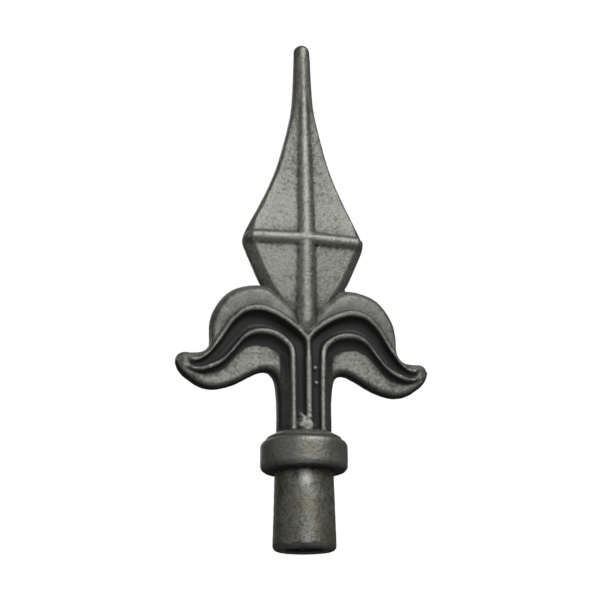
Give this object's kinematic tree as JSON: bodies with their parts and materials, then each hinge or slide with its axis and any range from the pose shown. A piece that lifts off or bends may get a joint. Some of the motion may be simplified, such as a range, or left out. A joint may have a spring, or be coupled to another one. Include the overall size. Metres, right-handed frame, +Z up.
{
  "type": "spear point finial",
  "caption": "Cast spear point finial: a lozenge blade with a raised cross rib over two drooping side leaves, a ridged neck, a collar ring and a round socket for a picket.",
  "frame": {"origin": "centre of the socket's round mouth, which is the lowest plane of the casting", "axes": "+Z up along the socket's axis to the tip, +X across the leaves, front face to -Y"},
  "size_m": [0.0824, 0.0274, 0.1728],
  "materials": {
    "cast_iron": "as-cast grey iron with fine sand grain, lighter on raised flats and ridge crests, dark in the flutes"
  },
  "bodies": {
    "root": {"finial_casting": "cast_iron"}
  },
  "joints": []
}
